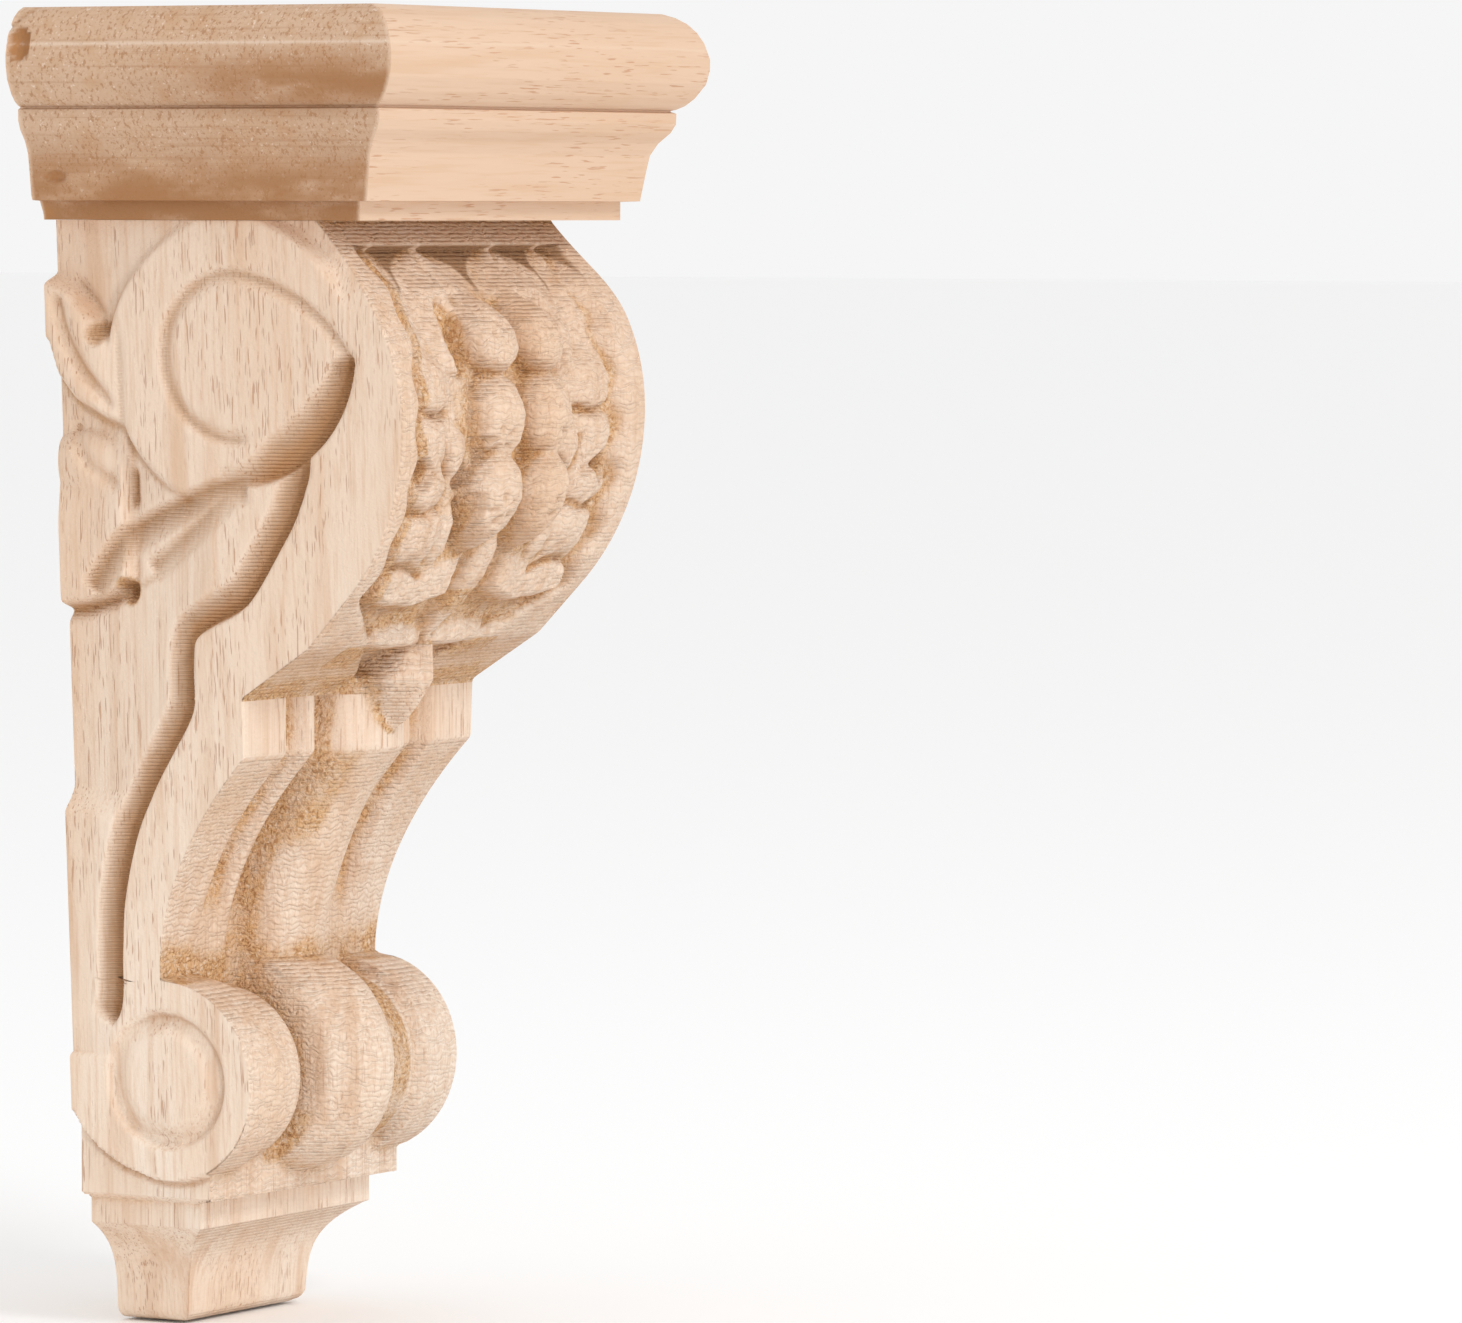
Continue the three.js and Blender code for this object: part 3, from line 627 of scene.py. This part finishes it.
def blurred(grid, size):
    """The grid averaged twice over so many points each way."""
    count = 2 * size
    for axis in (0, 1):
        for _ in range(2):
            first = np.repeat(grid.take([0], axis), size, axis)
            last = np.repeat(grid.take([-1], axis), size, axis)
            total = np.cumsum(np.concatenate([first, grid, last], axis), axis)
            low = total.take(range(0, grid.shape[axis]), axis)
            high = total.take(range(count, count + grid.shape[axis]), axis)
            grid = (high - low) / count
    return grid


def hollowness(grid, steps, full=1.6):
    """How far each place lies under its surroundings, from 0 to 1 at the full depth."""
    return np.clip((blurred(grid, steps) - grid) / full, 0, 1)


def around(on_left, on_front, on_right):
    """Values once round a ring: along the left side, over the front and back along the right side."""
    return np.concatenate([on_left[:, :-1], on_front, on_right[:, -2::-1]], 1)


def mesh_of_rings(name, x, d, z, values, plain):
    """A closed mesh through rings of points, with a value of each name for every point.

    The flat ends of the mesh have the plain values.
    """
    rings = np.stack([x, -d, z + 0 * x], -1)
    inset = mix(rings.mean(axis=1, keepdims=True), rings, END_INSET)
    rings = np.concatenate([inset[:1], rings, inset[-1:]])
    rows, count = rings.shape[:2]
    index = np.arange(rows * count).reshape(rows, count)
    turned = np.roll(index, -1, 1)
    faces = np.stack([index[:-1], turned[:-1], turned[1:], index[1:]], -1).reshape(-1, 4).tolist()
    faces += [index[0][::-1].tolist(), index[-1].tolist()]
    places = rings.reshape(-1, 3) - (0, 0, ORIGIN_HEIGHT)
    mesh = bpy.data.meshes.new(name)
    mesh.from_pydata((places * MM).tolist(), [], faces)
    for key, grid in values.items():
        grid = np.pad(grid, ((1, 1), (0, 0)), constant_values=plain[key])
        layer = mesh.attributes.new(key, "FLOAT", "POINT")
        layer.data.foreach_set("value", grid.reshape(-1).astype(np.float32))
    mesh.shade_smooth()
    mesh.set_sharp_from_angle(angle=math.radians(SHARP_ANGLE))
    piece = bpy.data.objects.new(name, mesh)
    bpy.context.scene.collection.objects.link(piece)
    return piece


def painted_pocket_shade(u, z):
    """How far a place lies in the painted shade of the pockets between the tips of the top leaves."""
    away = 9.0 + 0 * (u + z)
    for heights, inner, outer, _ in TOP_LEAVES:
        half = (np.interp(z, heights, outer) - np.interp(z, heights, inner)) / 2
        away = np.minimum(away, (np.abs(leaf_across(u, z, heights, inner, outer)) - 1) * half)
    return smooth(-0.5, 0.3, away) * smooth(188, 190.5, z) * smooth(36, 34.6, u) * (z < STRIP_FOOT)


def shade_under_low_leaves(u, z):
    """How much painted shade, with rough fuzz, lies just under the lower edges of the low leaves."""
    under = 0 * (u + z)
    for places, heights, _, _ in LOW_LEAVES:
        below = np.interp(u, places, heights) - z
        under = np.maximum(under, 0.85 * smooth(-0.3, 0.3, below) * smooth(6.5, 2, below) * (u < 26))
    return under


def fuzzy(x, z, depth):
    """How rough a place of the front is, as in hollows, beside leaves and between boss and drums, with
    painted shade just under the low leaves.
    """
    u = np.abs(x)
    above = z - LEAF_TIP
    wall = near(u - leaf_reach(z) - 0.8, 0.8) * (above > -0.6) * (above < 15)
    inside = inside_field(u, z)
    edge = 0.9 * within(inside, 1.6, 3, 4.4, 5.6) * within(z, 122, 136, 194, 197) * np.where(x < 0, 1, 0.4)
    beside = within(u, 8.4, 10.4, 13.4, 15.6) * within(z, 28, 31, 62, 66)
    beside = beside * np.where(x > 0, 1, mix(1, 0.4, smooth(36, 41, z)))
    far = within(x, 13, 16, 20.6, 23) * within(z, 28, 34, 60, 64)
    rib = 0.8 * within(u, 4, 8, 12, 15) * within(z, 84, 92, 102, 108)
    neck = 0.7 * near(u - HOLLOW_MIDDLE, 2.6) * within(z, 94, 104, 114, NECK_HEIGHT)
    off_leaf = ~((u < leaf_reach(z)) & (above > 0) & (above < 16))
    hollows = np.maximum(hollowness(depth, 6), 0.7 * hollowness(depth, 12))
    hollows = hollows * mix(0.4, 1, smooth(34, 50, z)) * (z > BLOCK_FOOT) * off_leaf
    # Painted shade under the low leaves' lower edges, drawn as brown fuzz
    under = shade_under_low_leaves(u, z) * off_leaf
    return np.clip(np.maximum.reduce([hollows, wall, edge, beside, far, rib, neck, under]), 0, 1)


def side_values(x, d, z):
    """Values of the side: roughness and brown fuzz in its hollows, tool lines, and painted shade in its
    grooves and thin creases.
    """
    beyond_back = d > 0
    cuts = np.where(z > BLOCK_TOP, side_cuts(d, z), 0)
    # Painted shade in the side's grooves, darker the deeper they are cut
    groove = np.clip(cuts / 3.0, 0, 1) ** 1.1 * beyond_back
    pits = sum(bump(d, z, *pit) for pit in ROUGH_PITS)
    return {
        "hollow": np.clip(np.maximum(hollowness(x, 4) * 0.5, pits), 0, 1) * beyond_back,
        "steep": np.clip(2 * groove, 0, 1),
        "strip": 0 * x,
        "groove": groove,
        # Painted shade along the side's thin creases
        "crease_shade": smooth(0.3, 1, hollowness(x, 2, 0.8)) * beyond_back * (z > BLOCK_FOOT),
        "flat": 1 + 0 * x,
    }


def front_values(x, d, z):
    """Values of the front: roughness, tool lines, painted shadow under the cap, and painted shade in the
    leaf pockets and thin creases.
    """
    slope = np.abs(np.gradient(d, axis=0) / np.gradient(z, axis=0))
    # Painted shadow under the cap, darkest at the top of the strip, and painted shade in the pockets between
    # the leaf tips; tool lines are drawn across it as well
    strip = np.maximum(0.3 * smooth(196.5, 200, z), painted_pocket_shade(np.abs(x), z))
    grain_shows = (z < BLOCK_FOOT) | ((z > STEM_TOP) & (z < NECK_HEIGHT))
    return {
        "hollow": fuzzy(x, z, d),
        "steep": np.maximum(np.clip(slope - 0.3, 0, 1), np.clip(2 * strip, 0, 1)),
        "strip": strip,
        "groove": 0 * x,
        # Painted shade along the front's thin creases
        "crease_shade": smooth(0.3, 1, hollowness(d, 2, 0.8)) * smooth(118, 126, z),
        "flat": np.where(grain_shows, 0.93, 0.55) + 0 * x,
    }


def carved_part(name, rows, side_steps, front_steps):
    """A stretch of the carved body, with its edges slightly eased."""
    z = np.array(rows)[:, None]
    edge_depth = front(half_width(z) - 0.6, z)
    edge_half = side(edge_depth - 0.3, z)
    side_d = edge_depth * np.linspace(0, 1, side_steps + 1)[None, :]
    side_x = (side(side_d, z - 0.3) + 2 * side(side_d, z) + side(side_d, z + 0.3)) / 4
    side_x = softened(side_x, (1,))
    front_x = edge_half * np.linspace(-1, 1, front_steps + 1)[None, :]
    front_d = softened(front(np.abs(front_x), z))
    on_side, on_front = side_values(side_x, side_d, z), front_values(front_x, front_d, z)
    values = {key: around(on_side[key], on_front[key], on_side[key]) for key in on_side}
    front_x[:, [0, -1]] += (EDGE_EASE, -EDGE_EASE)
    front_d[:, [0, -1]] -= EDGE_EASE
    x, d = around(-side_x, front_x, side_x), around(side_d, front_d, side_d)
    piece = mesh_of_rings(name, x, d, z, values, dict.fromkeys(values, 0) | {"flat": 1})
    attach(piece, "root")
    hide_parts("body")
    return piece


def spread(low, high, step, *extra):
    """Heights from low to high about a step apart, with the extra ones among them."""
    return sorted({*np.linspace(low, high, round((high - low) / step) + 1).tolist(), *extra})


def cap_flaws(d, z):
    """Depth of the knot and chip, and of all flaws, on the cap's left end."""
    knots = bump(d, z, *KNOT) + bump(d, z, *CHIP)
    worn = WORN_DEPTH * smooth(7, 0, d) * smooth(206.5, 202, z)
    beside_crack = d - CRACK_FOOT[0] - 0.97 * (z - CRACK_FOOT[1])
    crack = CRACK_DEPTH * near(beside_crack, 0.4) * (z > 235)
    return knots, knots + worn + crack


def cap_board():
    """The moulded board on top, which overhangs the body on three sides."""
    heights, reaches = zip(*CAP_PROFILE)
    z = np.array(spread(CAP_FOOT, TOP, CAP_SPACING, *heights))[:, None]
    share = np.interp(z, heights, reaches)
    half = CAP_FILLET_HALF + CAP_SIDE_REACH * share
    depth = CAP_FILLET_DEPTH + CAP_FRONT_REACH * share
    side_d = depth * np.linspace(0, 1, CAP_STEPS[0] + 1)[None, :]
    front_x = half * np.linspace(-1, 1, CAP_STEPS[1] + 1)[None, :]
    bare_side, bare_front = 0 * side_d, 0 * front_x
    knots, flaws = cap_flaws(side_d, z)
    end = (side_d > 0) * 1.0
    line = near(z - TOOL_LINE_HEIGHT, 0.35)
    smudge = near(z - SMUDGE_HEIGHT, 5.5) * smooth(14, 60, side_d) + smooth(220, 206, z)
    smudge = np.clip(smudge + 1.2 * (knots > 0.3), 0, 1) * end
    values = {
        "hollow": around(np.clip(flaws, 0, 1) * end, bare_front, bare_side),
        "end": around(end, bare_front, end),
        "smudge": around(smudge, bare_front, smudge),
        "line": around(line * end, 0.4 * line + bare_front, line * end),
    }
    x = around(flaws - half, front_x, half + bare_side)
    d = around(side_d, depth + bare_front, side_d)
    piece = mesh_of_rings("cap_board", x, d, z, values, dict.fromkeys(values, 0))
    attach(piece, "root")
    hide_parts("cap")
    return piece


class Nodes:
    """A material being built, with short ways to add and join nodes."""

    def __init__(self, name):
        self.material = bpy.data.materials.new(name)
        self.material.use_nodes = True
        self.tree = self.material.node_tree
        self.shader = self.tree.nodes["Principled BSDF"]

    def add(self, kind, settings=None, **inputs):
        """A new node, with each input set to a value or joined to another node."""
        node = self.tree.nodes.new("ShaderNode" + kind)
        for key, value in (settings or {}).items():
            setattr(node, key, value)
        for key, value in inputs.items():
            self.feed(node.inputs[key.replace("_", " ")], value)
        return node

    def feed(self, socket, value):
        if isinstance(value, bpy.types.NodeSocket):
            self.tree.links.new(value, socket)
        else:
            socket.default_value = value

    def place(self):
        """Object coordinates in metres."""
        return self.add("TexCoord").outputs["Object"]

    def value(self, name):
        """A value that the mesh holds for each of its points."""
        return self.add("Attribute", {"attribute_name": name}).outputs["Fac"]

    def noise(self, scale, detail=2.0, roughness=0.5, distortion=0.0):
        """Noise from 0 to 1, with its own scale along each axis."""
        stretched = self.add("Mapping", Vector=self.place(), Scale=scale).outputs["Vector"]
        made = self.add("TexNoise", Vector=stretched, Scale=1.0, Detail=detail,
                        Roughness=roughness, Distortion=distortion)
        return made.outputs["Fac"]

    def waves(self, scale, **inputs):
        """Level bands one above the other, from 0 to 1."""
        settings = {"wave_type": "BANDS", "bands_direction": "Z"}
        return self.add("TexWave", settings, Vector=self.place(), Scale=scale, **inputs).outputs["Fac"]

    def ramp(self, value, low, high):
        """The value spread from 0 at low to 1 at high."""
        made = self.add("MapRange", {"interpolation_type": "SMOOTHSTEP"}, Value=value)
        self.feed(made.inputs["From Min"], low)
        self.feed(made.inputs["From Max"], high)
        return made.outputs["Result"]

    def math(self, operation, a, b):
        made = self.add("Math", {"operation": operation})
        self.feed(made.inputs[0], a)
        self.feed(made.inputs[1], b)
        return made.outputs[0]

    def plus(self, a, b):
        return self.math("ADD", a, b)

    def minus(self, a, b):
        return self.math("SUBTRACT", a, b)

    def times(self, a, b):
        return self.math("MULTIPLY", a, b)

    def tint(self, base, colour, mask, share=1.0):
        """The base colour turned by a share towards another, where the mask is 1."""
        made = self.add("Mix", {"data_type": "RGBA"})
        for number, value in ((0, self.times(mask, share)), (6, base), (7, colour)):
            self.feed(made.inputs[number], value)
        return made.outputs[2]

    def finish(self, colour, roughness, height, strength, distance):
        """The material, with its colour, roughness and relief joined to the shader."""
        relief = self.add("Bump", Strength=strength, Distance=distance, Height=height)
        self.feed(self.shader.inputs["Base Color"], colour)
        self.feed(self.shader.inputs["Normal"], relief.outputs["Normal"])
        self.feed(self.shader.inputs["Roughness"], roughness)
        return self.material


def grained(nodes, along):
    """Colour of the bare wood, its figure and pores drawn out along one axis."""
    def stretched(cross, length):
        return tuple(length if axis == along else cross for axis in range(3))

    figure = nodes.noise(stretched(26, 5), 3, 0.55, 0.6)
    colour = nodes.tint(PALE, PEACH, nodes.ramp(figure, 0.35, 0.68))
    streaks = nodes.noise(stretched(210, 12), 3, 0.6, 0.3)
    colour = nodes.tint(colour, WARM, nodes.ramp(streaks, 0.46, 0.74), 0.62)
    fibres = nodes.noise(stretched(1500, 60), 2, 0.6)
    colour = nodes.tint(colour, WARM, nodes.ramp(fibres, 0.45, 0.72), 0.4)
    dashes = nodes.noise(stretched(3000, 170), 1, 0.4)
    clusters = nodes.noise(stretched(130, 30), 2, 0.5)
    pores = nodes.times(nodes.ramp(dashes, 0.62, 0.7), nodes.ramp(clusters, 0.36, 0.56))
    return colour, pores


def rippled(nodes, flat):
    """Wavy marks of a carving tool, where the surface isn't flat."""
    waves = nodes.waves(300.0, Distortion=9.0, Detail=2.0, Detail_Scale=1.4)
    return nodes.times(waves, nodes.times(nodes.minus(1.0, flat), 1.6))


def roughened(nodes, colour, hollow, fibres):
    """The colour with yellow-brown fuzz, dark flecks and pale splinters in the hollows, which also paints
    the shade under the low leaves.
    """
    patches = nodes.ramp(nodes.noise((160, 160, 120), 3, 0.6), 0.3, 0.6)
    rough = nodes.times(nodes.ramp(hollow, 0.1, 0.75), nodes.plus(nodes.times(patches, 0.7), 0.3))
    flecks = nodes.times(rough, nodes.ramp(fibres, 0.52, 0.62))
    splinters = nodes.times(rough, nodes.ramp(fibres, 0.44, 0.36))
    colour = nodes.tint(colour, FUZZ, rough, 0.75)
    colour = nodes.tint(colour, RUST, flecks, 0.85)
    return nodes.tint(colour, PALE, splinters, 0.55)


def carved_wood():
    """Wood of the body: upright grain, rippled carving, painted shade in grooves, creases, leaf pockets and
    under the low leaves, painted shadow under the cap, and rough hollows.
    """
    nodes = Nodes("carved_wood")
    flat, hollow = nodes.value("flat"), nodes.value("hollow")
    colour, pores = grained(nodes, 2)
    level = nodes.add("SeparateXYZ", Vector=nodes.place()).outputs["Z"]
    colour = nodes.tint(colour, WARM, nodes.ramp(level, -0.1, 0.08), 0.4)
    pores = nodes.times(pores, flat)
    colour = nodes.tint(colour, PORE, pores, 0.6)
    ripples = rippled(nodes, flat)
    colour = nodes.tint(colour, WARM, ripples, 0.42)
    fibres = nodes.noise((1300, 1300, 1150), 2, 0.7, 0.6)
    # The fuzz tint also paints shade just under the low leaves
    colour = roughened(nodes, colour, hollow, fibres)
    # Painted shade down the side's grooves
    colour = nodes.tint(colour, GROOVE_SHADE, nodes.value("groove"), 0.9)
    # Painted shade along thin creases
    colour = nodes.tint(colour, RUST, nodes.value("crease_shade"), 0.4)
    # Painted shadow under the cap and painted shade in the leaf pockets
    colour = nodes.tint(colour, UNDER_CAP_SHADE, nodes.value("strip"), 0.85)
    lines = nodes.times(nodes.waves(462.0, Distortion=0.6, Detail=1.0), nodes.value("steep"))
    colour = nodes.tint(colour, RUST, lines, 0.3)
    height = nodes.plus(nodes.times(lines, 0.9), nodes.times(ripples, 0.9))
    height = nodes.plus(height, nodes.times(fibres, nodes.plus(nodes.times(hollow, 2.6), 0.6)))
    height = nodes.minus(height, nodes.times(pores, 0.3))
    height = nodes.plus(height, nodes.times(nodes.noise((1700, 1700, 120)), 0.3))
    return nodes.finish(colour, 0.72, height, 1.0, BODY_RELIEF)


def stained_end(nodes, colour, end, speckle):
    """The colour with the brown, dotted and scratched end grain of the cap's two ends."""
    dots = nodes.times(nodes.ramp(speckle, 0.56, 0.64), end)
    scratches = nodes.times(nodes.ramp(nodes.noise((400, 22, 1500), 2, 0.6), 0.5, 0.72), end)
    pale = nodes.times(nodes.ramp(nodes.noise((600, 1300, 1300), 2, 0.6), 0.62, 0.72), end)
    cloud = nodes.ramp(nodes.noise((30, 60, 160), 3, 0.6), 0.1, 0.6)
    smudge = nodes.times(nodes.value("smudge"), cloud)
    colour = nodes.tint(colour, END, end, 0.56)
    colour = nodes.tint(colour, STAIN, dots, 0.62)
    colour = nodes.tint(colour, STAIN, scratches, 0.3)
    colour = nodes.tint(colour, PALE, pale, 0.5)
    return nodes.tint(colour, STAIN, smudge, 0.95)


def cap_wood():
    """Wood of the cap: grain across, stained end grain, a pale tool line and dark flaws."""
    nodes = Nodes("cap_wood")
    end = nodes.value("end")
    colour, pores = grained(nodes, 0)
    colour = nodes.tint(colour, WARM, nodes.minus(0.72, nodes.times(end, 0.46)))
    colour = nodes.tint(colour, PORE, pores, 0.6)
    speckle = nodes.noise((1000, 1500, 1100), 2, 0.6)
    colour = stained_end(nodes, colour, end, speckle)
    colour = nodes.tint(colour, PALE, nodes.value("line"), 0.4)
    flaws = nodes.times(nodes.value("hollow"), nodes.ramp(speckle, 0.2, 0.6))
    colour = nodes.tint(colour, RUST, flaws, 0.9)
    height = nodes.minus(nodes.times(speckle, end), nodes.times(pores, 0.6))
    height = nodes.plus(height, nodes.times(nodes.noise((90, 1500, 1500)), 0.3))
    return nodes.finish(colour, 0.7, height, 0.45, CAP_RELIEF)


def camera():
    """The camera at the photo's place: front left, a little above, with a long lens."""
    data = bpy.data.cameras.new("camera")
    data.sensor_width = SENSOR_WIDTH
    data.lens = LENS
    data.clip_start, data.clip_end = 0.05, 100
    right, up = Vector(CAMERA_RIGHT), Vector(CAMERA_UP)
    x, y, z = CAMERA_PLACE
    place = Vector((x, y, z - ORIGIN_HEIGHT)) * MM
    holder = bpy.data.objects.new("camera", data)
    turn = Matrix((right, up, right.cross(up))).transposed().to_4x4()
    holder.matrix_world = Matrix.Translation(place) @ turn
    bpy.context.scene.collection.objects.link(holder)
    bpy.context.scene.camera = holder


def area_light(name, place, size, power):
    """A round white light that faces the corbel."""
    data = bpy.data.lights.new(name, "AREA")
    data.shape, data.size, data.energy = "DISK", size, power
    lamp = bpy.data.objects.new(name, data)
    lamp.location = place
    lamp.rotation_euler = (-Vector(place)).to_track_quat("-Z", "Y").to_euler()
    bpy.context.scene.collection.objects.link(lamp)


def pale_floor():
    """A plain pale floor just under the foot."""
    nodes = Nodes("floor")
    nodes.feed(nodes.shader.inputs["Base Color"], FLOOR)
    nodes.feed(nodes.shader.inputs["Roughness"], 0.9)
    floor_height = -ORIGIN_HEIGHT * MM - FLOOR_GAP
    bpy.ops.mesh.primitive_plane_add(size=FLOOR_SIZE, location=(0, 0, floor_height))
    floor = bpy.context.object
    floor.name = "floor"
    floor.data.materials.append(nodes.material)


def studio():
    """A bright, even surround and soft light from the front, most of it from above."""
    world = bpy.data.worlds.new("studio")
    world.use_nodes = True
    background = world.node_tree.nodes["Background"]
    background.inputs["Color"].default_value = (1, 1, 1, 1)
    background.inputs["Strength"].default_value = WORLD_STRENGTH
    bpy.context.scene.world = world
    bpy.context.scene.view_settings.view_transform = "Standard"
    for light in LIGHTS:
        area_light(*light)


def corbel():
    """The body in two stretches that meet at the neck, and the cap board on top."""
    body_wood = carved_wood()
    beside = [round(level + off, 2) for level in SHARP_EDGES for off in (-BESIDE_EDGE, BESIDE_EDGE)]
    lower_rows = spread(0, NECK_HEIGHT - SEAM, LOWER_SPACING, *beside)
    upper_rows = spread(NECK_HEIGHT, BODY_TOP, UPPER_SPACING)
    carved_part("carved_lower", lower_rows, *LOWER_STEPS).data.materials.append(body_wood)
    carved_part("carved_upper", upper_rows, *UPPER_STEPS).data.materials.append(body_wood)
    cap_board().data.materials.append(cap_wood())


camera()
studio()
pale_floor()
corbel()
